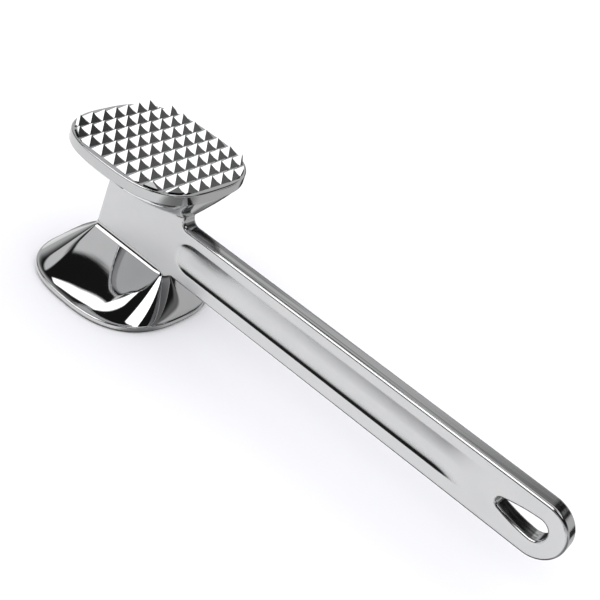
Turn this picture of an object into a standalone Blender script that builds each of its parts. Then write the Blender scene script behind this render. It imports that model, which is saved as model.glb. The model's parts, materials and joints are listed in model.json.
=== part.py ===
"""Double-faced meat mallet.

A flat handle bar carries a web at its head end. A toothed striking plate sits on the
web's top edge and a smooth striking foot on its bottom edge, each on a blind
mortise-and-tenon joint. Metres, +Z up: the origin is the centre of the smooth
striking face, +X runs along the handle and +Z along the strike axis, teeth up.
"""
import math

import bmesh
import bpy
from mathutils import Matrix, Vector

MM = 0.001

# Whole object
FIT_GAP = 0.3 * MM               # clearance between touching pieces
HEAD_HEIGHT = 58.4 * MM          # smooth face to tooth tips
BAR_THICKNESS = 6.4 * MM         # handle and web, across Y
BAR_EDGE_RADIUS = 1.2 * MM
BAR_SHOULDER_RADIUS = 0.5 * MM   # where the web meets the striking pieces

# Toothed plate
PLATE_CENTRE_X = 0.5 * MM
PLATE_HALF_LENGTH = 27.3 * MM
PLATE_HALF_WIDTH = 26.3 * MM
PLATE_SQUARENESS = 2.88          # superellipse exponent
PLATE_RIM = 4.2 * MM
PLATE_EDGE_LOW = 0.6 * MM
PLATE_EDGE_HIGH = 0.6 * MM
PLATE_FLARE_DEPTH = 11.2 * MM
PLATE_FLARE_POWERS = (0.92, 0.75)   # along X, along Y
TOOTH_COUNT = 9
TOOTH_PITCH_X = 5.7 * MM
TOOTH_PITCH_Y = 5.45 * MM
TOOTH_BASE_X = 4.6 * MM
TOOTH_BASE_Y = 4.9 * MM
TOOTH_HEIGHT = 2.7 * MM
TOOTH_FIELD_SHIFT_X = 0.75 * MM
TOOTH_FIELD_INSET = 1.1 * MM     # plain lip left around the clipped teeth

# Smooth foot
FOOT_HALF_LENGTH = 28.8 * MM
FOOT_HALF_WIDTH = 29.4 * MM
FOOT_SQUARENESS = 2.57
FOOT_RIM = 2.4 * MM
FOOT_EDGE_LOW = 0.7 * MM
FOOT_EDGE_HIGH = 0.6 * MM
FOOT_HEIGHT = 15.5 * MM
FOOT_FLARE_POWERS = (0.72, 1.2)    # along X, along Y

# Web, between the two striking pieces
WEB_BACK_BOTTOM = -15.9 * MM
WEB_BACK_TOP = -14.8 * MM
WEB_FRONT_BOTTOM = 18.1 * MM
WEB_FRONT_TOP = 20.2 * MM

# Handle
HANDLE_BOTTOM = 16.5 * MM
HANDLE_TOP = 36.8 * MM
HANDLE_TIP = 178.6 * MM
ROOT_FILLET_TOP = 3.0 * MM
ROOT_BLEND_BOTTOM = 4.0 * MM     # length of the blend from web to handle underside

# Finger channel in each side of the handle
CHANNEL_WIDTH = 11.2 * MM
CHANNEL_DEPTH = 1.3 * MM
CHANNEL_RAISE = 0.6 * MM         # channel's centre above the handle's
CHANNEL_START = 20.5 * MM
CHANNEL_END = 150.0 * MM
CHANNEL_RUN_IN = 5.0 * MM
CHANNEL_RUN_OUT = 34.0 * MM

# Hanging hole, a teardrop with its narrow end toward the head
HOLE_WIDE_RADIUS = 3.8 * MM
HOLE_NARROW_RADIUS = 1.6 * MM
HOLE_NARROW_X = 156.4 * MM
HOLE_SIDE_RADIUS = 50.0 * MM
HOLE_EDGE_RADIUS = 1.0 * MM

# Tenons on the web, blind mortises in the striking pieces
TENON_CENTRE_X = 2.0 * MM
TENON_LENGTH = 24.0 * MM
TENON_THICKNESS = 3.6 * MM
TENON_DEPTH = 8.0 * MM

# Derived
HALF_BAR = BAR_THICKNESS / 2
TOOTH_ROOT_Z = HEAD_HEIGHT - TOOTH_HEIGHT
PLATE_RIM_Z = TOOTH_ROOT_Z - PLATE_RIM
PLATE_UNDERSIDE_Z = PLATE_RIM_Z - PLATE_FLARE_DEPTH
HANDLE_MID = (HANDLE_BOTTOM + HANDLE_TOP) / 2
HANDLE_END_RADIUS = (HANDLE_TOP - HANDLE_BOTTOM) / 2
HANDLE_END_X = HANDLE_TIP - HANDLE_END_RADIUS

# Mesh resolution
SIDE_X_STEPS = 3
CORNER_STEPS = 8
SIDE_Y_STEPS = 6
CORNER_FROM = math.radians(14)   # normals between these belong to the corner
CORNER_TO = math.radians(76)
FLARE_STEPS = 9
EDGE_STEPS = 3
END_STEPS = 28


def clear_scene():
    for obj in list(bpy.data.objects):
        bpy.data.objects.remove(obj, do_unlink=True)


def metal(name, colour, roughness):
    mat = bpy.data.materials.new(name)
    mat.use_nodes = True
    shader = mat.node_tree.nodes["Principled BSDF"]
    shader.inputs["Base Color"].default_value = (*colour, 1.0)
    shader.inputs["Metallic"].default_value = 1.0
    shader.inputs["Roughness"].default_value = roughness
    return mat


def finish(name, bm, mat=None):
    bmesh.ops.recalc_face_normals(bm, faces=bm.faces)
    mesh = bpy.data.meshes.new(name)
    bm.to_mesh(mesh)
    bm.free()
    obj = bpy.data.objects.new(name, mesh)
    bpy.context.scene.collection.objects.link(obj)
    if mat:
        mesh.materials.append(mat)
    mesh.shade_smooth()
    mesh.set_sharp_from_angle(angle=math.radians(28))
    return obj


def cut(obj, cutter, operation="DIFFERENCE"):
    cutter.hide_render = True
    cutter.display_type = "WIRE"
    boolean = obj.modifiers.new(cutter.name, "BOOLEAN")
    boolean.operation = operation
    boolean.solver = "EXACT"
    boolean.object = cutter


def box(name, low, high):
    bm = bmesh.new()
    size = Vector(high) - Vector(low)
    centre = (Vector(high) + Vector(low)) / 2
    bmesh.ops.create_cube(bm, size=1.0, matrix=Matrix.LocRotScale(centre, None, size))
    return finish(name, bm)


def superellipse_point(half_x, half_y, squareness, normal_angle):
    """Point in the first quadrant whose outward normal has the given angle."""
    power = 1 / (squareness - 1)
    x = (half_x * math.cos(normal_angle)) ** power
    y = (half_y * max(0.0, math.sin(normal_angle))) ** power
    scale = (x ** squareness + y ** squareness) ** (-1 / squareness)
    return Vector((half_x * scale * x, half_y * scale * y))


def mirrored_ring(quadrant):
    """Closed ring from a first-quadrant run that goes from +X to +Y."""
    inner = quadrant[1:-1]
    ring = list(quadrant)
    ring += [Vector((-p.x, p.y)) for p in reversed(inner)]
    ring += [Vector((-p.x, -p.y)) for p in quadrant]
    ring += [Vector((p.x, -p.y)) for p in reversed(inner)]
    return ring


def outline_ring(half_x, half_y, squareness):
    angles = [CORNER_FROM * i / SIDE_X_STEPS for i in range(SIDE_X_STEPS)]
    angles += [CORNER_FROM + (CORNER_TO - CORNER_FROM) * i / CORNER_STEPS for i in range(CORNER_STEPS)]
    angles += [CORNER_TO + (math.pi / 2 - CORNER_TO) * i / SIDE_Y_STEPS for i in range(SIDE_Y_STEPS + 1)]
    points = [superellipse_point(half_x, half_y, squareness, a) for a in angles]
    points[-1].x = 0.0
    return mirrored_ring(points)


def slot_ring(half_x, half_y, radius):
    """Rounded rectangle with the same point order as outline_ring."""
    flat_x = half_x - radius
    flat_y = half_y - radius
    points = [Vector((half_x, flat_y * i / SIDE_X_STEPS)) for i in range(SIDE_X_STEPS)]
    for i in range(CORNER_STEPS):
        a = math.pi / 2 * i / CORNER_STEPS
        points.append(Vector((flat_x + radius * math.cos(a), flat_y + radius * math.sin(a))))
    points += [Vector((flat_x * (1 - i / SIDE_Y_STEPS), half_y)) for i in range(SIDE_Y_STEPS + 1)]
    return mirrored_ring(points)


def skin(bm, rings):
    """Bridge a stack of equal rings and cap both ends."""
    loops = [[bm.verts.new(p) for p in ring] for ring in rings]
    count = len(loops[0])
    for lower, upper in zip(loops, loops[1:]):
        for i in range(count):
            j = (i + 1) % count
            bm.faces.new((lower[i], lower[j], upper[j], upper[i]))
    bm.faces.new(reversed(loops[0]))
    bm.faces.new(loops[-1])


def place(ring, z, shift_x=0.0):
    return [Vector((p.x + shift_x, p.y, z)) for p in ring]


def flare_rings(rim_ring, rim_shift, slot, slot_shift, z_rim, z_slot, powers):
    """Flare from the rim outline to the web's footprint, hollow where a power is over 1."""
    half_width = max(p.y for p in rim_ring)
    rings = []
    for step in range(FLARE_STEPS + 1):
        run = step / FLARE_STEPS
        ring = []
        for rim, end in zip(rim_ring, slot):
            flat = rim.lerp(end, run)
            sideways = abs(rim.y) / half_width
            power = powers[0] + (powers[1] - powers[0]) * sideways
            x = flat.x + rim_shift + (slot_shift - rim_shift) * run
            ring.append(Vector((x, flat.y, z_rim + (z_slot - z_rim) * run ** power)))
        rings.append(ring)
    return rings


def rim_rings(half_x, half_y, squareness, shift, edge_low, edge_high, z_low, z_high):
    """Side wall of a striking piece with a rounded lower and upper edge."""
    rings = []
    for radius, z, start in ((edge_low, z_low + edge_low, -math.pi / 2), (edge_high, z_high - edge_high, 0.0)):
        for i in range(EDGE_STEPS + 1):
            a = start + math.pi / 2 * i / EDGE_STEPS
            inset = radius * (1 - math.cos(a))
            ring = outline_ring(half_x - inset, half_y - inset, squareness)
            rings.append(place(ring, z + radius * math.sin(a), shift))
    return rings


def web_slot(back, front):
    """Outline of the web's end face and its centre along X."""
    return slot_ring((front - back) / 2, HALF_BAR, BAR_EDGE_RADIUS), (front + back) / 2


def mortise(name, z_from, z_to):
    half = TENON_LENGTH / 2 + FIT_GAP
    deep = TENON_THICKNESS / 2 + FIT_GAP
    return box(name, (TENON_CENTRE_X - half, -deep, z_from), (TENON_CENTRE_X + half, deep, z_to))


def make_foot():
    slot, slot_shift = web_slot(WEB_BACK_BOTTOM, WEB_FRONT_BOTTOM)
    rings = rim_rings(FOOT_HALF_LENGTH, FOOT_HALF_WIDTH, FOOT_SQUARENESS, 0.0, FOOT_EDGE_LOW,
                      FOOT_EDGE_HIGH, 0.0, FOOT_RIM)
    inner = outline_ring(FOOT_HALF_LENGTH - FOOT_EDGE_HIGH, FOOT_HALF_WIDTH - FOOT_EDGE_HIGH, FOOT_SQUARENESS)
    rings += flare_rings(inner, 0.0, slot, slot_shift, FOOT_RIM, FOOT_HEIGHT, FOOT_FLARE_POWERS)[1:]
    bm = bmesh.new()
    skin(bm, rings)
    foot = finish("smooth_striking_foot", bm, metal("polished foot", (0.86, 0.86, 0.87), 0.08))
    depth = TENON_DEPTH + FIT_GAP
    cut(foot, mortise("foot_mortise", FOOT_HEIGHT - depth, FOOT_HEIGHT + MM))
    return foot


def tooth_edges(pitch, base):
    """Where the tooth bases start and end along one axis."""
    edges = []
    for k in range(TOOTH_COUNT):
        mid = (k - (TOOTH_COUNT - 1) / 2) * pitch
        edges += [mid - base / 2, mid + base / 2]
    return edges


def tooth_field():
    """Slab with a raised field of pyramids that stand a little apart."""
    base_z = TOOTH_ROOT_Z - PLATE_RIM / 2
    xs = tooth_edges(TOOTH_PITCH_X, TOOTH_BASE_X)
    ys = tooth_edges(TOOTH_PITCH_Y, TOOTH_BASE_Y)
    bm = bmesh.new()
    grid = [[bm.verts.new((x, y, TOOTH_ROOT_Z)) for y in ys] for x in xs]
    low = [[bm.verts.new((x, y, base_z)) for y in ys] for x in xs]
    last_x = len(xs) - 1
    last_y = len(ys) - 1
    for i in range(last_x):
        for j in range(last_y):
            corners = (grid[i][j], grid[i + 1][j], grid[i + 1][j + 1], grid[i][j + 1])
            if i % 2 or j % 2:
                bm.faces.new(corners)
            else:
                apex = bm.verts.new(((xs[i] + xs[i + 1]) / 2, (ys[j] + ys[j + 1]) / 2, HEAD_HEIGHT))
                for k in range(4):
                    bm.faces.new((corners[k], corners[(k + 1) % 4], apex))
            bm.faces.new((low[i][j + 1], low[i + 1][j + 1], low[i + 1][j], low[i][j]))
    for i in range(last_x):
        bm.faces.new((low[i][0], low[i + 1][0], grid[i + 1][0], grid[i][0]))
        bm.faces.new((grid[i][last_y], grid[i + 1][last_y], low[i + 1][last_y], low[i][last_y]))
    for j in range(last_y):
        bm.faces.new((grid[0][j], grid[0][j + 1], low[0][j + 1], low[0][j]))
        bm.faces.new((low[last_x][j], low[last_x][j + 1], grid[last_x][j + 1], grid[last_x][j]))
    bmesh.ops.translate(bm, verts=bm.verts, vec=(TOOTH_FIELD_SHIFT_X, 0.0, 0.0))
    return finish("tooth_field", bm)


def tooth_clip():
    ring = outline_ring(PLATE_HALF_LENGTH - TOOTH_FIELD_INSET, PLATE_HALF_WIDTH - TOOTH_FIELD_INSET,
                        PLATE_SQUARENESS)
    bm = bmesh.new()
    skin(bm, [place(ring, z, PLATE_CENTRE_X) for z in (PLATE_RIM_Z, HEAD_HEIGHT + MM)])
    return finish("tooth_clip", bm)


def make_toothed_plate():
    slot, slot_shift = web_slot(WEB_BACK_TOP, WEB_FRONT_TOP)
    rim = rim_rings(PLATE_HALF_LENGTH, PLATE_HALF_WIDTH, PLATE_SQUARENESS, PLATE_CENTRE_X, PLATE_EDGE_LOW,
                    PLATE_EDGE_HIGH, PLATE_RIM_Z, TOOTH_ROOT_Z)
    inner = outline_ring(PLATE_HALF_LENGTH - PLATE_EDGE_LOW, PLATE_HALF_WIDTH - PLATE_EDGE_LOW,
                         PLATE_SQUARENESS)
    flare = flare_rings(inner, PLATE_CENTRE_X, slot, slot_shift, PLATE_RIM_Z, PLATE_UNDERSIDE_Z,
                        PLATE_FLARE_POWERS)
    bm = bmesh.new()
    skin(bm, list(reversed(flare))[:-1] + rim)
    plate = finish("toothed_striking_plate", bm, metal("polished plate", (0.84, 0.84, 0.85), 0.12))
    teeth = tooth_field()
    cut(teeth, tooth_clip(), "INTERSECT")
    cut(plate, teeth, "UNION")
    depth = TENON_DEPTH + FIT_GAP
    cut(plate, mortise("plate_mortise", PLATE_UNDERSIDE_Z - MM, PLATE_UNDERSIDE_Z + depth))
    return plate


def arc(centre, radius, start, end, steps):
    """Points on an arc in XZ, angles in degrees from +X toward +Z."""
    points = []
    for i in range(steps + 1):
        a = math.radians(start + (end - start) * i / steps)
        points.append(Vector((centre[0] + radius * math.cos(a), centre[1] + radius * math.sin(a))))
    return points


def bar_outline(inset):
    """Web and handle in side view, anticlockwise from the web's lower back corner."""
    shoulder = inset * BAR_SHOULDER_RADIUS / BAR_EDGE_RADIUS
    low = FOOT_HEIGHT + FIT_GAP + shoulder
    high = PLATE_UNDERSIDE_Z - FIT_GAP - shoulder
    under = HANDLE_BOTTOM + inset
    points = [Vector((WEB_BACK_BOTTOM + inset, low))]
    for i in range(5):
        run = i / 4
        blend = run * run * (3 - 2 * run)
        points.append(Vector((WEB_FRONT_BOTTOM + ROOT_BLEND_BOTTOM * run, low + (under - low) * blend)))
    points += arc((HANDLE_END_X, HANDLE_MID), HANDLE_END_RADIUS - inset, -90, 90, END_STEPS)
    root = (WEB_FRONT_TOP + ROOT_FILLET_TOP, HANDLE_TOP + ROOT_FILLET_TOP)
    points += arc(root, ROOT_FILLET_TOP + inset, 270, 180, 7)
    points += [Vector((WEB_FRONT_TOP - inset, high)), Vector((WEB_BACK_TOP + inset, high))]
    return points


def teardrop(grow):
    """Wide and narrow end circles joined by side arcs that are tangent to both."""
    to_wide = HOLE_SIDE_RADIUS - HOLE_WIDE_RADIUS
    to_narrow = HOLE_SIDE_RADIUS - HOLE_NARROW_RADIUS
    run = HANDLE_END_X - HOLE_NARROW_X
    ahead = (run ** 2 + to_narrow ** 2 - to_wide ** 2) / (2 * run)
    drop = math.sqrt(to_narrow ** 2 - ahead ** 2)
    side_x = HOLE_NARROW_X + ahead
    at_wide = math.degrees(math.atan2(drop, HANDLE_END_X - side_x))
    at_narrow = math.degrees(math.atan2(drop, HOLE_NARROW_X - side_x))
    side = HOLE_SIDE_RADIUS + grow
    points = arc((HANDLE_END_X, HANDLE_MID), HOLE_WIDE_RADIUS + grow, -at_wide, at_wide, 20)
    points += arc((side_x, HANDLE_MID - drop), side, at_wide, at_narrow, 6)[1:-1]
    points += arc((HOLE_NARROW_X, HANDLE_MID), HOLE_NARROW_RADIUS + grow, at_narrow, 360 - at_narrow, 10)
    points += arc((side_x, HANDLE_MID + drop), side, 360 - at_narrow, 360 - at_wide, 6)[1:-1]
    return points


def rounded_levels(radius):
    """Inset and Y of each ring from the right face to the left face."""
    levels = []
    for i in range(EDGE_STEPS + 2):
        a = math.pi / 2 * i / (EDGE_STEPS + 1)
        levels.append((radius * (1 - math.sin(a)), radius * (1 - math.cos(a)) - HALF_BAR))
    return levels + [(inset, -y) for inset, y in reversed(levels)]


def wall(bm, rings):
    """Bridge rings given as (points, y); returns the edges of the two end rings."""
    loops = [[bm.verts.new((p.x, y, p.y)) for p in points] for points, y in rings]
    count = len(loops[0])
    for near, far in zip(loops, loops[1:]):
        for i in range(count):
            j = (i + 1) % count
            bm.faces.new((near[i], near[j], far[j], far[i]))
    ends = []
    for loop in (loops[0], loops[-1]):
        ends.append([bm.edges.get((loop[i - 1], loop[i])) for i in range(count)])
    return ends


def make_bar():
    bm = bmesh.new()
    outer = wall(bm, [(bar_outline(inset), y) for inset, y in rounded_levels(BAR_EDGE_RADIUS)])
    hole = wall(bm, [(teardrop(grow), y) for grow, y in rounded_levels(HOLE_EDGE_RADIUS)])
    for outer_edges, hole_edges in zip(outer, hole):
        bmesh.ops.triangle_fill(bm, edges=outer_edges + hole_edges, use_beauty=True)
    return finish("handle_and_web_bar", bm, metal("satin handle", (0.82, 0.82, 0.83), 0.18))


def channel_cutter(side):
    """Spindle along X whose skin dips CHANNEL_DEPTH into one side of the bar."""
    radius = (CHANNEL_WIDTH ** 2 / 4 + CHANNEL_DEPTH ** 2) / (2 * CHANNEL_DEPTH)
    stations = []
    for i in range(7):
        stations.append((CHANNEL_START + CHANNEL_RUN_IN * i / 6, math.sin(math.pi / 2 * i / 6)))
    for i in range(9):
        fade = i / 8
        stations.append((CHANNEL_END - CHANNEL_RUN_OUT * (1 - fade), 0.5 + 0.5 * math.cos(math.pi * fade)))
    bm = bmesh.new()
    segments = 60
    loops = []
    for x, dip in stations:
        r = radius - CHANNEL_DEPTH * (1 - dip)
        ring = []
        for k in range(segments):
            a = 2 * math.pi * (k + 0.5) / segments
            ring.append(Vector((x, r * math.cos(a), r * math.sin(a))))
        loops.append(ring)
    skin(bm, loops)
    axis_y = HALF_BAR - CHANNEL_DEPTH + radius
    bmesh.ops.translate(bm, verts=bm.verts, vec=(0.0, side * axis_y, HANDLE_MID + CHANNEL_RAISE))
    return finish("channel_left" if side > 0 else "channel_right", bm)


def add_tenons(bar):
    half = TENON_LENGTH / 2
    deep = TENON_THICKNESS / 2
    root = 3 * MM
    low = FOOT_HEIGHT - TENON_DEPTH + FIT_GAP
    high = PLATE_UNDERSIDE_Z + TENON_DEPTH - FIT_GAP
    spans = (("foot_tenon", low, FOOT_HEIGHT + FIT_GAP + root),
             ("plate_tenon", PLATE_UNDERSIDE_Z - FIT_GAP - root, high))
    for name, z_low, z_high in spans:
        tenon = box(name, (TENON_CENTRE_X - half, -deep, z_low), (TENON_CENTRE_X + half, deep, z_high))
        cut(bar, tenon, "UNION")


def main():
    clear_scene()
    make_foot()
    make_toothed_plate()
    bar = make_bar()
    cut(bar, channel_cutter(-1))
    cut(bar, channel_cutter(1))
    add_tenons(bar)


main()
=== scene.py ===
"""Studio scene of the meat mallet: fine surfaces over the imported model, a pale floor and soft light."""
import json
import math

import bmesh
import bpy
from mathutils import Matrix, Vector


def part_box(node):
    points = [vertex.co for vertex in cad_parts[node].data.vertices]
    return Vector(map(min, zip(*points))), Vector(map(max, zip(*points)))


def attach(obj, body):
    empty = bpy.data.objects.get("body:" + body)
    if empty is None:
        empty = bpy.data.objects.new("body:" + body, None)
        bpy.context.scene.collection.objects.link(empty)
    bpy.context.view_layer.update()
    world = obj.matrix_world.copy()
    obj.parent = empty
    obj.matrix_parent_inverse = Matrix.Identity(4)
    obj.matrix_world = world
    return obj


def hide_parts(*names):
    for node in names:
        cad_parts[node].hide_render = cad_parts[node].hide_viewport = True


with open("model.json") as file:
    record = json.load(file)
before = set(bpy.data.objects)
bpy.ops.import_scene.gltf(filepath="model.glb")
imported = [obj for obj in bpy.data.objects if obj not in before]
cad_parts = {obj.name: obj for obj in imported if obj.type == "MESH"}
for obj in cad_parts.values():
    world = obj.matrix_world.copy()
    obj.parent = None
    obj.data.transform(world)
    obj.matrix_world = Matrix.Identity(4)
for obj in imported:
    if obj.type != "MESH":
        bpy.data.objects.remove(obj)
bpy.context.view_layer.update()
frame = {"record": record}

MM = 0.001

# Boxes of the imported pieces, which every position is measured from
foot_low, foot_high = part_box("smooth_striking_foot")
plate_low, plate_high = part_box("toothed_striking_plate")
bar_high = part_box("handle_and_web_bar")[1]
hole_low, hole_high = frame["record"]["physics"]["openings"][0]["box_m"]

# Bar
HALF_BAR = bar_high.y
BAR_EDGE_RADIUS = 1.2 * MM
BAR_SINK = 0.6 * MM              # how far the web runs into the striking pieces
WEB_BACK_BOTTOM = -15.9 * MM
WEB_BACK_TOP = -14.8 * MM
WEB_FRONT_BOTTOM = 18.1 * MM
WEB_FRONT_TOP = 20.2 * MM
HANDLE_MID = (hole_low[2] + hole_high[2]) / 2
HANDLE_HALF = 10.15 * MM
HANDLE_BOTTOM = HANDLE_MID - HANDLE_HALF
HANDLE_TOP = HANDLE_MID + HANDLE_HALF
HANDLE_END_X = bar_high.x - HANDLE_HALF
ROOT_FILLET_TOP = 3.0 * MM
ROOT_BLEND_BOTTOM = 4.0 * MM

# Finger channel
CHANNEL_HALF_WIDTH = 5.6 * MM
CHANNEL_DEPTH = 1.12 * MM
CHANNEL_MID = HANDLE_MID + 0.6 * MM
CHANNEL_SHAPE = 3.0              # higher is flatter in the middle and steeper at the edges
CHANNEL_SHAPE_EASED = 1.3        # the upper wall eases to this
CHANNEL_EASING = 30.0 * MM
CHANNEL_START = 20.8 * MM
CHANNEL_END = 152.0 * MM
CHANNEL_RUN_IN = 7.0 * MM
CHANNEL_RUN_OUT = 19.0 * MM
CHANNEL_SOFTNESS = 0.05          # rounding of the channel's edges, as a share of its depth
CHANNEL_ROWS = 56
CHANNEL_COLUMNS = 170
CHANNEL_CROWDING = 1.25          # columns stand closer together at the head end
CHANNEL_MARGIN = 1.16            # height of the fine grid against the channel's
CHANNEL_OVERRUN = 1.0 * MM       # the grid runs on past each end of the channel

# Fillet where each striking piece meets the web
COLLAR_WIDTH = 1.2 * MM
COLLAR_RISE = 1.2 * MM
COLLAR_GAP = 0.03 * MM
COLLAR_FADE = 3.0 * MM           # it fades out toward the handle
COLLAR_LEAST = 0.02              # share of its height that is left there
COLLAR_SHARE = 0.08              # of the flare's run, with closer rings
COLLAR_CROWDING = 1.5            # those rings stand closer together at the web

# Hanging hole
HOLE_WIDE_RADIUS = 3.8 * MM
HOLE_NARROW_RADIUS = 1.6 * MM
HOLE_NARROW_X = 156.4 * MM
HOLE_SIDE_RADIUS = 50.0 * MM
HOLE_EDGE_RADIUS = 1.0 * MM

# Foot
FOOT_SQUARENESS = 2.57
FOOT_RIM = 2.4 * MM
FOOT_EDGE_LOW = 0.7 * MM
FOOT_EDGE_HIGH = 0.6 * MM
FOOT_FLARE_POWERS = (0.72, 1.2)

# Plate
PLATE_SQUARENESS = 2.88
PLATE_RIM = 4.2 * MM
PLATE_EDGE_LOW = 0.6 * MM
PLATE_EDGE_HIGH = 0.6 * MM
PLATE_FLARE_POWERS = (0.92, 0.75)
TOOTH_COUNT = 9
TOOTH_PITCH_X = 5.7 * MM
TOOTH_PITCH_Y = 5.45 * MM
TOOTH_BASE_X = 4.6 * MM
TOOTH_BASE_Y = 4.9 * MM
TOOTH_HEIGHT = 2.7 * MM
TOOTH_FIELD_SHIFT_X = 0.75 * MM
TOOTH_FIELD_INSET = 1.1 * MM
TOOTH_CLIP_RISE = 1.0 * MM      # the clipping block stands above the teeth

PLATE_CENTRE_X = (plate_low.x + plate_high.x) / 2
PLATE_HALF_LENGTH = (plate_high.x - plate_low.x) / 2
PLATE_HALF_WIDTH = (plate_high.y - plate_low.y) / 2
TOOTH_ROOT_Z = plate_high.z - TOOTH_HEIGHT
PLATE_RIM_Z = TOOTH_ROOT_Z - PLATE_RIM

# Mesh resolution
SIDE_X_STEPS = 12
CORNER_STEPS = 40
SIDE_Y_STEPS = 16
CORNER_FROM = math.radians(14)
CORNER_TO = math.radians(76)
FLARE_STEPS = 40
COLLAR_STEPS = 14
EDGE_STEPS = 6
ROUND_STEPS = 8                  # quarter round along the bar's and the hole's edges
BLEND_STEPS = 12                 # from the web to the handle's underside
END_STEPS = 96
ROOT_STEPS = 20
HOLE_WIDE_STEPS = 60
HOLE_NARROW_STEPS = 40
HOLE_SIDE_STEPS = 24

# Edges sharper than this many degrees aren't smoothed over
SHARP_ANGLE = 30.0
PLATE_SHARP_ANGLE = 24.0
BAR_SHARP_ANGLE = 40.0

# Metal: noise scales are per metre, and levels are where a blend starts and ends
RIPPLE_SCALE = 90.0
GRAIN_SCALE = 2600.0
BRUSH_SCALE = (60.0, 1400.0, 1400.0)   # streaks run along the handle
LINE_SCALE = (9.0, 1100.0, 1100.0)     # and so do the long polishing lines
LINE_LEVELS = (0.36, 0.52)
LEAST_DULLNESS = 0.8             # share of a metal's roughness that is there everywhere
RIPPLE_DULLING = 0.4             # share that the ripple adds
WORN_EDGE = (0.515, 0.56)        # pointiness
WEAR_PATCHES = (0.4, 0.6)
WEAR_DULLING = 0.12
FLAT_SIDE = (0.93, 0.985)        # how squarely a face looks along Y
FACING_UP = (0.8, 0.95)
CHROME_DARK = (0.53, 0.535, 0.545, 1.0)
CHROME_LIGHT = (0.60, 0.60, 0.605, 1.0)
# painted shade: the colour that creases, tooth roots and edges near the floor darken to where the ambient
# occlusion is low, with the grain speckling its edge
PAINTED_CREVICE_SHADE = (0.045, 0.043, 0.045, 1.0)
SHADE_SPECKLE = 0.16
OPENING_SAMPLES = 8
BUMP_HEIGHT = 0.02 * MM

# Surroundings that the metal reflects. Heights are the up part of a ray's unit vector. A patch of sky has
# an azimuth, an elevation, the two cosines between which it fades in, and its levels if not 0 and 1.
WALL_TILT = 0.45                 # the wall light reaches less high toward +X
WALL_START = (0.1, 0.3)          # how far toward +Y it fades in
WALL_BANDS = ((0.46, 0.58, 0.46), (0.68, 0.80, 0.16))   # fades between two heights, strength under them
GLOW_STRENGTH = 0.6
GLOW_TOP = 0.50                  # height where it ends, which is lower over two patches
GLOW_TOP_FRONT = 0.14
GLOW_TOP_SIDE = 0.30
GLOW_FADE = 0.3                  # share of that height where it starts to fade
GLOW_FRONT = (-160, 12, 0.90, 0.97)
GLOW_SIDE = (62, 14, 0.86, 0.97)
FILL_STRENGTH = 0.012
LEAST_HEIGHT = 0.02              # keeps the plan coordinates finite at the horizon
HORIZON_BLUR = 0.02
TABLE_NEAR = 1.02
TABLE_FAR = 0.6
TABLE_FAR_SIDE = (35, 0, -0.1, 0.5)
TABLE_UNDERSIDE = (-0.93, -0.80, 0.05, 1.0)   # two heights and the levels there
TABLE_HANDLE_SIDE = (92, -36, 0.78, 0.95, 1.0, 0.4)
GAP_STRENGTH = 0.05
GAP_EDGE = (1.2, 0.8)            # of a gap's radius, between which it fades
DOME_STRENGTH = (1.03, 1.32)     # at the horizon and overhead

# Panels overhead: centre, half size, turn in degrees, feather, strength
PANELS = (
    ((-0.58, -1.05), (0.72, 0.68), 0.0, 0.04, 2.3),
    ((-0.43, -0.09), (0.40, 0.055), -35.0, 0.015, 2.6),
    ((0.60, -0.10), (0.30, 0.08), 25.0, 0.02, 2.6),
    ((-0.70, -0.275), (0.34, 0.095), 0.0, 0.012, 0.8),
    ((0.20, 0.42), (0.50, 0.38), 0.0, 0.05, 0.75),
    ((-1.45, 0.0), (0.40, 0.13), 0.0, 0.04, 0.8),
)

# Azimuth, elevation and radius in degrees of the dark gaps between the lights
DARK_GAPS = (
    (-20.0, 4.0, 10.0),
    (-7.0, 3.0, 10.0),
    (-25.0, -18.0, 24.0),
    (33.0, -15.0, 8.0),
    (8.0, 39.0, 5.0),
    (17.0, 33.0, 5.0),
    (30.0, 21.0, 4.0),
    (178.0, 4.0, 9.0),
    (111.0, -7.0, 6.0),
    (153.0, -7.0, 5.0),
)

# Floor
FLOOR_RADIUS = 8.0
FLOOR_STEPS = 96
FLOOR_GAP = 0.02 * MM            # under the foot
FLOOR_COLOUR = (0.875, 0.875, 0.91, 1.0)
FLOOR_ROUGHNESS = 0.9

# Camera, fitted to the photograph; angles in degrees, lens and sensor in mm
CAMERA_PLACE = (194.651 * MM, -253.062 * MM, 223.066 * MM)
CAMERA_AZIMUTH = -63.728         # where it stands, from +X toward +Y
CAMERA_ELEVATION = 33.018
CAMERA_ROLL = 21.781
CAMERA_LENS = 63.56
CAMERA_SENSOR = 36.0
CAMERA_NEAR = 0.01
CAMERA_FAR = 50.0


def finish(name, bm, material=None, sharp=SHARP_ANGLE):
    bmesh.ops.recalc_face_normals(bm, faces=bm.faces)
    mesh = bpy.data.meshes.new(name)
    bm.to_mesh(mesh)
    bm.free()
    obj = bpy.data.objects.new(name, mesh)
    bpy.context.scene.collection.objects.link(obj)
    if material:
        mesh.materials.append(material)
    mesh.shade_smooth()
    mesh.set_sharp_from_angle(angle=math.radians(sharp))
    return obj


def superellipse_point(half_x, half_y, squareness, normal_angle):
    """Point in the first quadrant whose outward normal has the given angle."""
    power = 1 / (squareness - 1)
    x = (half_x * math.cos(normal_angle)) ** power
    y = (half_y * max(0.0, math.sin(normal_angle))) ** power
    scale = (x ** squareness + y ** squareness) ** (-1 / squareness)
    return Vector((half_x * scale * x, half_y * scale * y))


def mirrored_ring(quadrant):
    """Closed ring from a first-quadrant run that goes from +X to +Y."""
    inner = quadrant[1:-1]
    ring = list(quadrant)
    ring += [Vector((-p.x, p.y)) for p in reversed(inner)]
    ring += [Vector((-p.x, -p.y)) for p in quadrant]
    ring += [Vector((p.x, -p.y)) for p in reversed(inner)]
    return ring


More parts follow.
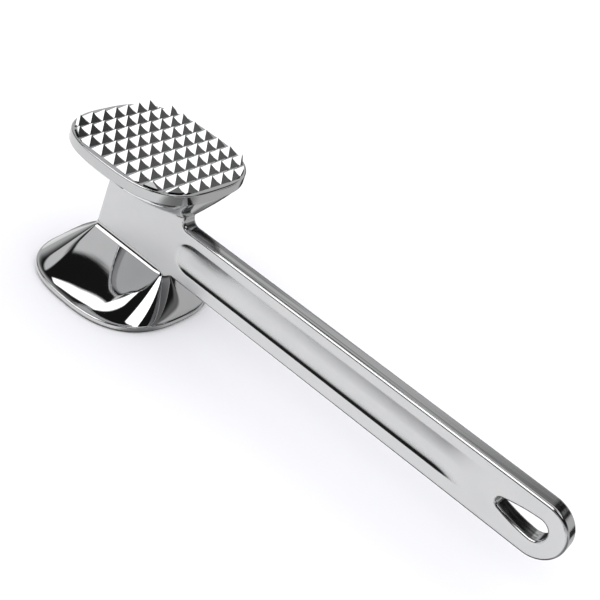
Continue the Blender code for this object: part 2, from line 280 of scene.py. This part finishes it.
def outline_ring(half_x, half_y, squareness):
    angles = [CORNER_FROM * i / SIDE_X_STEPS for i in range(SIDE_X_STEPS)]
    angles += [CORNER_FROM + (CORNER_TO - CORNER_FROM) * i / CORNER_STEPS for i in range(CORNER_STEPS)]
    angles += [CORNER_TO + (math.pi / 2 - CORNER_TO) * i / SIDE_Y_STEPS for i in range(SIDE_Y_STEPS + 1)]
    points = [superellipse_point(half_x, half_y, squareness, a) for a in angles]
    points[-1].x = 0.0
    return mirrored_ring(points)


def slot_ring(half_x, half_y, radius):
    """Rounded rectangle with the same point order as outline_ring."""
    flat_x = half_x - radius
    flat_y = half_y - radius
    points = [Vector((half_x, flat_y * i / SIDE_X_STEPS)) for i in range(SIDE_X_STEPS)]
    for i in range(CORNER_STEPS):
        a = math.pi / 2 * i / CORNER_STEPS
        points.append(Vector((flat_x + radius * math.cos(a), flat_y + radius * math.sin(a))))
    points += [Vector((flat_x * (1 - i / SIDE_Y_STEPS), half_y)) for i in range(SIDE_Y_STEPS + 1)]
    return mirrored_ring(points)


def skin(bm, rings):
    """Bridge a stack of equal rings and cap both ends."""
    loops = [[bm.verts.new(p) for p in ring] for ring in rings]
    count = len(loops[0])
    for lower, upper in zip(loops, loops[1:]):
        for i in range(count):
            j = (i + 1) % count
            bm.faces.new((lower[i], lower[j], upper[j], upper[i]))
    bm.faces.new(reversed(loops[0]))
    bm.faces.new(loops[-1])


def place(ring, z, shift_x=0.0):
    return [Vector((p.x + shift_x, p.y, z)) for p in ring]


def collar_rise(distance, end_x, front_x):
    """Height of the small fillet that the flare ends in, next to the web."""
    if distance >= COLLAR_WIDTH:
        return 0.0
    near = 1 - distance / COLLAR_WIDTH
    fade = min(1.0, max(COLLAR_LEAST, (front_x - end_x) / COLLAR_FADE))
    return COLLAR_RISE * fade * (1 - math.sqrt(max(0.0, 1 - near * near)))


def flare_rings(rim_ring, rim_shift, slot, slot_shift, z_rim, z_slot, powers):
    """Flare from the rim outline to the web's footprint, with a fillet at the web."""
    half_width = max(p.y for p in rim_ring)
    front_x = max(p.x for p in slot)
    upward = 1 if z_slot > z_rim else -1
    runs = [(1 - COLLAR_SHARE) * i / FLARE_STEPS for i in range(FLARE_STEPS)]
    runs += [1 - COLLAR_SHARE * (1 - i / COLLAR_STEPS) ** COLLAR_CROWDING for i in range(COLLAR_STEPS + 1)]
    rings = []
    for run in runs:
        ring = []
        for rim, end in zip(rim_ring, slot):
            flat = rim.lerp(end, run)
            sideways = abs(rim.y) / half_width
            power = powers[0] + (powers[1] - powers[0]) * sideways
            x = flat.x + rim_shift + (slot_shift - rim_shift) * run
            rise = upward * collar_rise((1 - run) * (rim - end).length, end.x, front_x)
            ring.append(Vector((x, flat.y, z_rim + (z_slot - z_rim) * run ** power + rise)))
        rings.append(ring)
    rings.append(place(slot, z_slot, slot_shift))
    return rings


def rim_rings(half_x, half_y, squareness, shift, edge_low, edge_high, z_low, z_high):
    """Side wall of a striking piece with a rounded lower and upper edge."""
    rings = []
    edges = ((edge_low, z_low + edge_low, -math.pi / 2), (edge_high, z_high - edge_high, 0.0))
    for radius, z, start in edges:
        for i in range(EDGE_STEPS + 1):
            a = start + math.pi / 2 * i / EDGE_STEPS
            inset = radius * (1 - math.cos(a))
            ring = outline_ring(half_x - inset, half_y - inset, squareness)
            rings.append(place(ring, z + radius * math.sin(a), shift))
    return rings


def web_slot(back, front):
    """Outline of the web's end face and its centre along X."""
    half_length = (front - back) / 2 + COLLAR_GAP
    return slot_ring(half_length, HALF_BAR + COLLAR_GAP, BAR_EDGE_RADIUS), (front + back) / 2


def make_foot(material):
    slot, slot_shift = web_slot(WEB_BACK_BOTTOM, WEB_FRONT_BOTTOM)
    half_x = (foot_high.x - foot_low.x) / 2
    half_y = (foot_high.y - foot_low.y) / 2
    rings = rim_rings(half_x, half_y, FOOT_SQUARENESS, 0.0, FOOT_EDGE_LOW, FOOT_EDGE_HIGH, 0.0, FOOT_RIM)
    inner = outline_ring(half_x - FOOT_EDGE_HIGH, half_y - FOOT_EDGE_HIGH, FOOT_SQUARENESS)
    rings += flare_rings(inner, 0.0, slot, slot_shift, FOOT_RIM, foot_high.z, FOOT_FLARE_POWERS)[1:]
    bm = bmesh.new()
    skin(bm, rings)
    return finish("foot_surface", bm, material)


def tooth_edges(pitch, base):
    """Where the tooth bases start and end along one axis."""
    edges = []
    for k in range(TOOTH_COUNT):
        mid = (k - (TOOTH_COUNT - 1) / 2) * pitch
        edges += [mid - base / 2, mid + base / 2]
    return edges


def tooth_field():
    """Slab with a raised field of pyramids that stand a little apart."""
    base_z = TOOTH_ROOT_Z - PLATE_RIM / 2
    xs = tooth_edges(TOOTH_PITCH_X, TOOTH_BASE_X)
    ys = tooth_edges(TOOTH_PITCH_Y, TOOTH_BASE_Y)
    bm = bmesh.new()
    grid = [[bm.verts.new((x, y, TOOTH_ROOT_Z)) for y in ys] for x in xs]
    low = [[bm.verts.new((x, y, base_z)) for y in ys] for x in xs]
    last_x = len(xs) - 1
    last_y = len(ys) - 1
    for i in range(last_x):
        for j in range(last_y):
            corners = (grid[i][j], grid[i + 1][j], grid[i + 1][j + 1], grid[i][j + 1])
            if i % 2 or j % 2:
                bm.faces.new(corners)
            else:
                apex = bm.verts.new(((xs[i] + xs[i + 1]) / 2, (ys[j] + ys[j + 1]) / 2, plate_high.z))
                for k in range(4):
                    bm.faces.new((corners[k], corners[(k + 1) % 4], apex))
            bm.faces.new((low[i][j + 1], low[i + 1][j + 1], low[i + 1][j], low[i][j]))
    for i in range(last_x):
        bm.faces.new((low[i][0], low[i + 1][0], grid[i + 1][0], grid[i][0]))
        bm.faces.new((grid[i][last_y], grid[i + 1][last_y], low[i + 1][last_y], low[i][last_y]))
    for j in range(last_y):
        bm.faces.new((grid[0][j], grid[0][j + 1], low[0][j + 1], low[0][j]))
        bm.faces.new((low[last_x][j], low[last_x][j + 1], grid[last_x][j + 1], grid[last_x][j]))
    bmesh.ops.translate(bm, verts=bm.verts, vec=(TOOTH_FIELD_SHIFT_X, 0.0, 0.0))
    return finish("tooth_field", bm)


def tooth_clip():
    ring = outline_ring(PLATE_HALF_LENGTH - TOOTH_FIELD_INSET, PLATE_HALF_WIDTH - TOOTH_FIELD_INSET,
                        PLATE_SQUARENESS)
    bm = bmesh.new()
    skin(bm, [place(ring, z, PLATE_CENTRE_X) for z in (PLATE_RIM_Z, plate_high.z + TOOTH_CLIP_RISE)])
    return finish("tooth_clip", bm)


def boolean(obj, other, operation):
    """Apply an exact boolean and drop the other object."""
    modifier = obj.modifiers.new(other.name, "BOOLEAN")
    modifier.operation = operation
    modifier.solver = "EXACT"
    modifier.object = other
    apply_modifiers(obj)
    bpy.data.objects.remove(other, do_unlink=True)


def apply_modifiers(obj):
    graph = bpy.context.evaluated_depsgraph_get()
    mesh = bpy.data.meshes.new_from_object(obj.evaluated_get(graph))
    obj.modifiers.clear()
    old = obj.data
    obj.data = mesh
    bpy.data.meshes.remove(old)


def make_plate(material):
    slot, slot_shift = web_slot(WEB_BACK_TOP, WEB_FRONT_TOP)
    rim = rim_rings(PLATE_HALF_LENGTH, PLATE_HALF_WIDTH, PLATE_SQUARENESS, PLATE_CENTRE_X, PLATE_EDGE_LOW,
                    PLATE_EDGE_HIGH, PLATE_RIM_Z, TOOTH_ROOT_Z)
    inner = outline_ring(PLATE_HALF_LENGTH - PLATE_EDGE_LOW, PLATE_HALF_WIDTH - PLATE_EDGE_LOW,
                         PLATE_SQUARENESS)
    flare = flare_rings(inner, PLATE_CENTRE_X, slot, slot_shift, PLATE_RIM_Z, plate_low.z,
                        PLATE_FLARE_POWERS)
    bm = bmesh.new()
    skin(bm, list(reversed(flare))[:-1] + rim)
    plate = finish("toothed_plate_surface", bm, material)
    teeth = tooth_field()
    boolean(teeth, tooth_clip(), "INTERSECT")
    boolean(plate, teeth, "UNION")
    plate.data.shade_smooth()
    plate.data.set_sharp_from_angle(angle=math.radians(PLATE_SHARP_ANGLE))
    return plate


def arc(centre, radius, start, end, steps):
    """Points on an arc in XZ, angles in degrees from +X toward +Z."""
    points = []
    for i in range(steps + 1):
        a = math.radians(start + (end - start) * i / steps)
        points.append(Vector((centre[0] + radius * math.cos(a), centre[1] + radius * math.sin(a))))
    return points


def bar_outline(inset):
    """Web and handle in side view, anticlockwise from the web's lower back corner."""
    low = foot_high.z - BAR_SINK
    high = plate_low.z + BAR_SINK
    under = HANDLE_BOTTOM + inset
    points = [Vector((WEB_BACK_BOTTOM + inset, low))]
    for i in range(BLEND_STEPS + 1):
        run = i / BLEND_STEPS
        blend = run * run * (3 - 2 * run)
        points.append(Vector((WEB_FRONT_BOTTOM + ROOT_BLEND_BOTTOM * run, low + (under - low) * blend)))
    points += arc((HANDLE_END_X, HANDLE_MID), HANDLE_HALF - inset, -90, 90, END_STEPS)
    root = (WEB_FRONT_TOP + ROOT_FILLET_TOP, HANDLE_TOP + ROOT_FILLET_TOP)
    points += arc(root, ROOT_FILLET_TOP + inset, 270, 180, ROOT_STEPS)
    points += [Vector((WEB_FRONT_TOP - inset, high)), Vector((WEB_BACK_TOP + inset, high))]
    return points


def teardrop(grow):
    """Wide and narrow end circles joined by side arcs that are tangent to both."""
    to_wide = HOLE_SIDE_RADIUS - HOLE_WIDE_RADIUS
    to_narrow = HOLE_SIDE_RADIUS - HOLE_NARROW_RADIUS
    run = HANDLE_END_X - HOLE_NARROW_X
    ahead = (run ** 2 + to_narrow ** 2 - to_wide ** 2) / (2 * run)
    drop = math.sqrt(to_narrow ** 2 - ahead ** 2)
    side_x = HOLE_NARROW_X + ahead
    at_wide = math.degrees(math.atan2(drop, HANDLE_END_X - side_x))
    at_narrow = math.degrees(math.atan2(drop, HOLE_NARROW_X - side_x))
    side = HOLE_SIDE_RADIUS + grow
    points = arc((HANDLE_END_X, HANDLE_MID), HOLE_WIDE_RADIUS + grow, -at_wide, at_wide, HOLE_WIDE_STEPS)
    points += arc((side_x, HANDLE_MID - drop), side, at_wide, at_narrow, HOLE_SIDE_STEPS)[1:-1]
    points += arc((HOLE_NARROW_X, HANDLE_MID), HOLE_NARROW_RADIUS + grow, at_narrow, 360 - at_narrow,
                  HOLE_NARROW_STEPS)
    points += arc((side_x, HANDLE_MID + drop), side, 360 - at_narrow, 360 - at_wide, HOLE_SIDE_STEPS)[1:-1]
    return points


def rounded_levels(radius):
    """Inset and Y of each ring from the -Y face to the +Y face."""
    levels = []
    for i in range(ROUND_STEPS + 1):
        a = math.pi / 2 * i / ROUND_STEPS
        levels.append((radius * (1 - math.sin(a)), radius * (1 - math.cos(a)) - HALF_BAR))
    return levels + [(inset, -y) for inset, y in reversed(levels)]


def wall(bm, rings):
    """Bridge rings given as (points, y); returns the edges of the two end rings."""
    loops = [[bm.verts.new((p.x, y, p.y)) for p in points] for points, y in rings]
    count = len(loops[0])
    for near, far in zip(loops, loops[1:]):
        for i in range(count):
            j = (i + 1) % count
            bm.faces.new((near[i], near[j], far[j], far[i]))
    ends = []
    for loop in (loops[0], loops[-1]):
        ends.append([bm.edges.get((loop[i - 1], loop[i])) for i in range(count)])
    return ends


def channel_dip(x, z):
    """Depth of the finger channel at a point of the bar's side."""
    shape = CHANNEL_SHAPE
    if z > CHANNEL_MID:
        easing = min(1.0, max(0.0, (x - CHANNEL_START) / CHANNEL_EASING))
        shape += (CHANNEL_SHAPE_EASED - CHANNEL_SHAPE) * easing
    across = abs((z - CHANNEL_MID) / CHANNEL_HALF_WIDTH) ** shape
    run_in = min(1.0, max(0.0, (x - CHANNEL_START) / CHANNEL_RUN_IN))
    run_out = min(1.0, max(0.0, (CHANNEL_END - x) / CHANNEL_RUN_OUT))
    value = math.sin(math.pi / 2 * run_in) * (1 + CHANNEL_SOFTNESS)
    value = value - across - CHANNEL_SOFTNESS * (1 - run_in)
    if value <= -CHANNEL_SOFTNESS:
        return 0.0
    if value < CHANNEL_SOFTNESS:
        value = (value + CHANNEL_SOFTNESS) ** 2 / (4 * CHANNEL_SOFTNESS)
    return CHANNEL_DEPTH * value * run_out * run_out * (3 - 2 * run_out)


def channel_patch(bm, side):
    """Fine grid over one channel; returns its border edges, which lie flat in the bar's side."""
    reach = CHANNEL_HALF_WIDTH * CHANNEL_MARGIN
    grid_start = CHANNEL_START - CHANNEL_OVERRUN
    grid_length = CHANNEL_END + CHANNEL_OVERRUN - grid_start
    grid = []
    for i in range(CHANNEL_COLUMNS + 1):
        run = i / CHANNEL_COLUMNS
        x = grid_start + grid_length * run ** CHANNEL_CROWDING
        column = []
        for j in range(CHANNEL_ROWS + 1):
            z = CHANNEL_MID + reach * (2 * j / CHANNEL_ROWS - 1)
            inside = 0 < i < CHANNEL_COLUMNS and 0 < j < CHANNEL_ROWS
            dip = channel_dip(x, z) if inside else 0.0
            column.append(bm.verts.new((x, side * (HALF_BAR - dip), z)))
        grid.append(column)
    for near, far in zip(grid, grid[1:]):
        for j in range(CHANNEL_ROWS):
            bm.faces.new((near[j], far[j], far[j + 1], near[j + 1]))
    border = [grid[i][0] for i in range(CHANNEL_COLUMNS + 1)]
    border += [grid[-1][j] for j in range(1, CHANNEL_ROWS + 1)]
    border += [grid[i][-1] for i in range(CHANNEL_COLUMNS - 1, -1, -1)]
    border += [grid[0][j] for j in range(CHANNEL_ROWS - 1, 0, -1)]
    return [bm.edges.get((border[i - 1], border[i])) for i in range(len(border))]


def make_bar(material):
    bm = bmesh.new()
    outer = wall(bm, [(bar_outline(inset), y) for inset, y in rounded_levels(BAR_EDGE_RADIUS)])
    hole = wall(bm, [(teardrop(grow), y) for grow, y in rounded_levels(HOLE_EDGE_RADIUS)])
    for outer_edges, hole_edges, side in zip(outer, hole, (-1, 1)):
        patch = channel_patch(bm, side)
        bmesh.ops.triangle_fill(bm, edges=outer_edges + hole_edges + patch, use_beauty=True)
    bar = finish("handle_surface", bm, material, BAR_SHARP_ANGLE)
    weighted = bar.modifiers.new("flat sides", "WEIGHTED_NORMAL")
    weighted.keep_sharp = True
    return bar


# Node helpers

def node(tree, kind, **inputs):
    made = tree.nodes.new(kind)
    for name, value in inputs.items():
        made.inputs[name].default_value = value
    return made


def maths(tree, operation, first, second=None, third=None):
    made = tree.nodes.new("ShaderNodeMath")
    made.operation = operation
    for socket, value in zip(made.inputs, (first, second, third)):
        if value is None:
            continue
        if isinstance(value, (int, float)):
            socket.default_value = value
        else:
            tree.links.new(value, socket)
    return made.outputs[0]


def smooth_range(tree, value, start, end, low=0.0, high=1.0):
    made = tree.nodes.new("ShaderNodeMapRange")
    made.interpolation_type = "SMOOTHSTEP"
    made.inputs["From Min"].default_value = start
    made.inputs["From Max"].default_value = end
    made.inputs["To Min"].default_value = low
    made.inputs["To Max"].default_value = high
    tree.links.new(value, made.inputs["Value"])
    return made.outputs["Result"]


def dot(tree, vector, direction):
    made = tree.nodes.new("ShaderNodeVectorMath")
    made.operation = "DOT_PRODUCT"
    tree.links.new(vector, made.inputs[0])
    made.inputs[1].default_value = direction
    return made.outputs["Value"]


def blend(tree, first, second, share):
    """first where share is 0, second where it is 1."""
    gap = maths(tree, "SUBTRACT", second, first)
    return maths(tree, "MULTIPLY_ADD", gap, share, first)


def mixed_colour(tree, first, second, share):
    """Like blend, for colours; each is four numbers or a socket."""
    made = tree.nodes.new("ShaderNodeMix")
    made.data_type = "RGBA"
    for name, value in (("A", first), ("B", second)):
        if isinstance(value, tuple):
            made.inputs[name].default_value = value
        else:
            tree.links.new(value, made.inputs[name])
    tree.links.new(share, made.inputs["Factor"])
    return made.outputs["Result"]


def noise(tree, coordinates, scale, detail):
    made = node(tree, "ShaderNodeTexNoise", Scale=scale, Detail=detail)
    tree.links.new(coordinates, made.inputs["Vector"])
    return made.outputs["Fac"]


def stretched(tree, coordinates, scale):
    """Coordinates scaled by a different amount along each axis."""
    made = node(tree, "ShaderNodeMapping", Scale=scale)
    tree.links.new(coordinates, made.inputs["Vector"])
    return made.outputs["Vector"]


# Surroundings

def sky_direction(azimuth, elevation):
    """Unit vector; azimuth 0 is +Y and 90 is +X."""
    a = math.radians(azimuth)
    e = math.radians(elevation)
    return Vector((math.sin(a) * math.cos(e), math.cos(a) * math.cos(e), math.sin(e)))


def toward(tree, ray, azimuth, elevation, start, end, low=0.0, high=1.0):
    """From low to high as the ray turns toward a direction; start and end are cosines."""
    return smooth_range(tree, dot(tree, ray, sky_direction(azimuth, elevation)), start, end, low, high)


def ceiling_panel(tree, plan_x, plan_y, centre, half_size, turn, feather, strength):
    """A rectangular light panel overhead; plan positions are in units of its height."""
    a = math.radians(turn)
    mask = None
    axes = ((math.cos(a), math.sin(a)), (-math.sin(a), math.cos(a)))
    for axis, half in zip(axes, half_size):
        offset = maths(tree, "MULTIPLY_ADD", plan_x, axis[0], -centre[0] * axis[0] - centre[1] * axis[1])
        offset = maths(tree, "ABSOLUTE", maths(tree, "MULTIPLY_ADD", plan_y, axis[1], offset))
        inside = smooth_range(tree, offset, half - feather, half + feather, 1.0, 0.0)
        mask = inside if mask is None else maths(tree, "MULTIPLY", mask, inside)
    return maths(tree, "MULTIPLY", mask, strength)


def light_above(tree, ray, up):
    """A lit wall at the back, a low glow at the horizon and panels overhead."""
    across = dot(tree, ray, (1, 0, 0))
    back = dot(tree, ray, (0, 1, 0))
    tilted = maths(tree, "MULTIPLY_ADD", across, WALL_TILT, up)
    bands = [smooth_range(tree, tilted, start, end, strength, 0.0) for start, end, strength in WALL_BANDS]
    wall_light = maths(tree, "MULTIPLY", smooth_range(tree, back, *WALL_START), maths(tree, "ADD", *bands))
    glow_top = blend(tree, GLOW_TOP, GLOW_TOP_FRONT, toward(tree, ray, *GLOW_FRONT))
    glow_top = blend(tree, glow_top, GLOW_TOP_SIDE, toward(tree, ray, *GLOW_SIDE))
    climb = maths(tree, "DIVIDE", up, glow_top)
    glow = smooth_range(tree, climb, GLOW_FADE, 1.0, GLOW_STRENGTH, 0.0)
    light = maths(tree, "ADD", maths(tree, "MAXIMUM", wall_light, glow), FILL_STRENGTH)
    height = maths(tree, "MAXIMUM", up, LEAST_HEIGHT)
    plan_x = maths(tree, "DIVIDE", across, height)
    plan_y = maths(tree, "DIVIDE", back, height)
    for panel in PANELS:
        light = maths(tree, "ADD", light, ceiling_panel(tree, plan_x, plan_y, *panel))
    return light


def light_below(tree, ray, up):
    """What polished metal sees of the table, darkest right under the mallet."""
    table = blend(tree, TABLE_NEAR, TABLE_FAR, toward(tree, ray, *TABLE_FAR_SIDE))
    table = maths(tree, "MULTIPLY", table, smooth_range(tree, up, *TABLE_UNDERSIDE))
    return maths(tree, "MULTIPLY", table, toward(tree, ray, *TABLE_HANDLE_SIDE))


def make_world():
    world = bpy.data.worlds.new("studio")
    bpy.context.scene.world = world
    world.use_nodes = True
    tree = world.node_tree
    background = tree.nodes["Background"]
    ray = tree.nodes.new("ShaderNodeTexCoord").outputs["Generated"]
    up = dot(tree, ray, (0, 0, 1))
    above = smooth_range(tree, up, -HORIZON_BLUR, HORIZON_BLUR)
    light = blend(tree, light_below(tree, ray, up), light_above(tree, ray, up), above)
    for azimuth, elevation, radius in DARK_GAPS:
        outer, inner = (math.cos(math.radians(radius * share)) for share in GAP_EDGE)
        gap = toward(tree, ray, azimuth, elevation, outer, inner, 1.0, GAP_STRENGTH)
        light = maths(tree, "MULTIPLY", light, gap)
    # an even, bright dome for what isn't metal, and a white surround for the camera
    path = tree.nodes.new("ShaderNodeLightPath")
    dome = smooth_range(tree, up, 0.0, 1.0, *DOME_STRENGTH)
    light = blend(tree, light, dome, path.outputs["Is Diffuse Ray"])
    tree.links.new(blend(tree, light, 1.0, path.outputs["Is Camera Ray"]), background.inputs["Strength"])
    background.inputs["Color"].default_value = (1.0, 1.0, 1.0, 1.0)


# Materials

def metal(name, roughness, streak, crevice, relief, satin=0.0, lined=1.0, shade_levels=(0.76, 1.03)):
    """Plated metal: casting ripple, polishing streaks, duller worn edges and painted shade in the crevices.

    satin dulls and pales the broad flat sides, and lined, below 1, darkens the polishing lines on the
    faces that look up. The last argument gives how open a place is where the painted crease shade starts to
    thin, and where it is gone.
    """
    material = bpy.data.materials.new(name)
    material.use_nodes = True
    tree = material.node_tree
    shader = tree.nodes["Principled BSDF"]
    coordinates = tree.nodes.new("ShaderNodeTexCoord").outputs["Object"]
    geometry = tree.nodes.new("ShaderNodeNewGeometry")
    normal = geometry.outputs["Normal"]
    ripple = noise(tree, coordinates, RIPPLE_SCALE, 2.0)
    grain = noise(tree, coordinates, GRAIN_SCALE, 2.0)
    brush = noise(tree, stretched(tree, coordinates, BRUSH_SCALE), 1.0, 3.0)
    flat = smooth_range(tree, maths(tree, "ABSOLUTE", dot(tree, normal, (0, 1, 0))), *FLAT_SIDE)

    # clouded by the ripple, streaked, scuffed in patches on convex edges, and satin on the flat sides
    dull = maths(tree, "MULTIPLY_ADD", ripple, RIPPLE_DULLING * roughness, LEAST_DULLNESS * roughness)
    dull = maths(tree, "MULTIPLY_ADD", brush, streak, dull)
    edge = smooth_range(tree, geometry.outputs["Pointiness"], *WORN_EDGE)
    wear = maths(tree, "MULTIPLY", edge, smooth_range(tree, grain, *WEAR_PATCHES))
    dull = maths(tree, "MULTIPLY_ADD", wear, WEAR_DULLING, dull)
    dull = maths(tree, "MULTIPLY_ADD", flat, satin, dull)
    tree.links.new(dull, shader.inputs["Roughness"])
    tree.links.new(smooth_range(tree, flat, 0.0, 1.0, 1.0, 1.0 - satin), shader.inputs["Metallic"])

    # tinted by the ripple, paler on the flat sides, with long polishing lines
    rows = noise(tree, stretched(tree, coordinates, LINE_SCALE), 1.0, 1.0)
    lines = smooth_range(tree, rows, *LINE_LEVELS, lined, 1.0)
    facing_up = smooth_range(tree, dot(tree, normal, (0, 0, 1)), *FACING_UP)
    lift = maths(tree, "MULTIPLY_ADD", flat, satin, 1.0)
    lift = maths(tree, "MULTIPLY", lift, blend(tree, 1.0, lines, facing_up))
    toned = tree.nodes.new("ShaderNodeVectorMath")
    toned.operation = "SCALE"
    tree.links.new(mixed_colour(tree, CHROME_DARK, CHROME_LIGHT, ripple), toned.inputs[0])
    tree.links.new(lift, toned.inputs["Scale"])

    # creases, tooth roots and edges near the floor get painted shade where the ambient occlusion is low
    opening = node(tree, "ShaderNodeAmbientOcclusion", Distance=crevice)
    opening.samples = OPENING_SAMPLES
    unshaded = maths(tree, "MULTIPLY_ADD", grain, SHADE_SPECKLE, opening.outputs["AO"])
    unshaded = smooth_range(tree, unshaded, *shade_levels)
    colour = mixed_colour(tree, PAINTED_CREVICE_SHADE, toned.outputs["Vector"], unshaded)
    tree.links.new(colour, shader.inputs["Base Color"])

    bump = node(tree, "ShaderNodeBump", Strength=relief, Distance=BUMP_HEIGHT)
    tree.links.new(maths(tree, "ADD", brush, grain), bump.inputs["Height"])
    tree.links.new(bump.outputs["Normal"], shader.inputs["Normal"])
    return material


def make_floor():
    bm = bmesh.new()
    bmesh.ops.create_circle(bm, cap_ends=True, segments=FLOOR_STEPS, radius=FLOOR_RADIUS)
    material = bpy.data.materials.new("pale_floor")
    material.use_nodes = True
    shader = material.node_tree.nodes["Principled BSDF"]
    shader.inputs["Base Color"].default_value = FLOOR_COLOUR
    shader.inputs["Roughness"].default_value = FLOOR_ROUGHNESS
    floor = finish("studio_floor", bm, material)
    floor.location.z = foot_low.z - FLOOR_GAP
    floor.visible_glossy = False


def make_camera():
    """Camera that looks back along its azimuth and elevation, rolled about its view."""
    data = bpy.data.cameras.new("camera")
    data.sensor_width = CAMERA_SENSOR
    data.lens = CAMERA_LENS
    data.clip_start = CAMERA_NEAR
    data.clip_end = CAMERA_FAR
    camera = bpy.data.objects.new("camera", data)
    bpy.context.scene.collection.objects.link(camera)
    turn = Matrix.Rotation(math.radians(90 + CAMERA_AZIMUTH), 4, "Z")
    tilt = Matrix.Rotation(math.radians(90 - CAMERA_ELEVATION), 4, "X")
    roll = Matrix.Rotation(math.radians(CAMERA_ROLL), 4, "Z")
    camera.matrix_world = Matrix.Translation(CAMERA_PLACE) @ turn @ tilt @ roll
    bpy.context.scene.camera = camera


chrome_side = metal("satin_chrome", roughness=0.10, streak=0.03, crevice=1.5 * MM, relief=0.25,
                    satin=0.2, lined=0.6)
chrome_foot = metal("mirror_chrome_foot", roughness=0.02, streak=0.004, crevice=1.5 * MM, relief=0.04)
chrome_plate = metal("mirror_chrome_plate", roughness=0.08, streak=0.03, crevice=0.8 * MM, relief=0.25,
                     shade_levels=(0.74, 0.98))

pieces = (
    (make_foot(chrome_foot), "smooth_striking_foot", "foot_chrome"),
    (make_plate(chrome_plate), "toothed_striking_plate", "plate_chrome"),
    (make_bar(chrome_side), "handle_and_web_bar", "handle_chrome"),
)
for piece, replaced, slot_name in pieces:
    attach(piece, "root")
    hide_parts(replaced)

make_floor()
make_world()
make_camera()
bpy.context.scene.view_settings.view_transform = "Standard"
